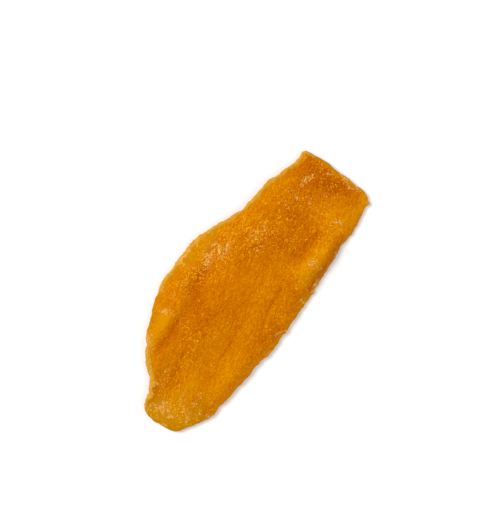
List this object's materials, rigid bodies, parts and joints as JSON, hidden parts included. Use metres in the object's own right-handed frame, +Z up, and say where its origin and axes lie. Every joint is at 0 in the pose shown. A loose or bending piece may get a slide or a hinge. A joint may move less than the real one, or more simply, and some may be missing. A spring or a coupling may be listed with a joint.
{
  "type": "dried mango slice",
  "caption": "Long leathery slice of dried mango with a gently arched, creased and hollowed face, thinner rounded edges and a light sugar bloom.",
  "frame": {"origin": "middle of the slice's length and width, on the surface that it lies on", "axes": "+X along the slice towards its broad end, +Y towards the long edge that lifts a little, +Z up out of the face that shows"},
  "size_m": [0.12, 0.0506, 0.0061],
  "materials": {
    "mango_flesh": "satin, slightly translucent, with a pale dusting of sugar"
  },
  "bodies": {
    "root": {"mango_slice": "mango_flesh"}
  },
  "joints": []
}
